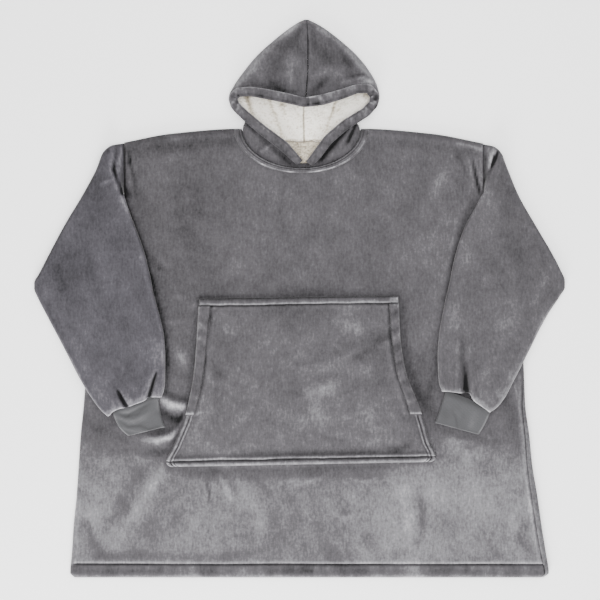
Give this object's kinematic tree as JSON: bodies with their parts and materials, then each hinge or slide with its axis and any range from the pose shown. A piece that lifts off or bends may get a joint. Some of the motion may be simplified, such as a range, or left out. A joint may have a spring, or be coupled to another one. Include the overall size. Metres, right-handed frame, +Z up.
{
  "type": "wearable blanket hoodie",
  "caption": "Oversized hooded pullover of plush grey fleece lined with cream sherpa, laid out flat, with folded-in sleeves, rib cuffs and a front pouch pocket.",
  "frame": {"origin": "on the surface the garment lies on, under the middle of its outline", "axes": "+Z up from the surface, +Y from the hem to the hood, +X towards the wearer's left side"},
  "size_m": [1.06, 1.114, 0.0386],
  "materials": {
    "flannel_fleece": "plush brushed pile with a soft sheen and faint brush marks",
    "sherpa": "deep curly pile, matt",
    "rib_knit": "fine rib knit, matt"
  },
  "bodies": {
    "root": {"back": "flannel_fleece", "front": "flannel_fleece", "pocket": "flannel_fleece", "pocket_hem_right": "flannel_fleece", "pocket_hem_left": "flannel_fleece", "neck_binding": "flannel_fleece", "sleeve_right": "flannel_fleece", "sleeve_left": "flannel_fleece", "cuff_right": "rib_knit", "cuff_left": "rib_knit", "hood_right": "flannel_fleece", "hood_left": "flannel_fleece", "hood_hem": "flannel_fleece", "hood_lining_right": "sherpa", "hood_lining_left": "sherpa", "neck_lining": "sherpa"}
  },
  "joints": []
}
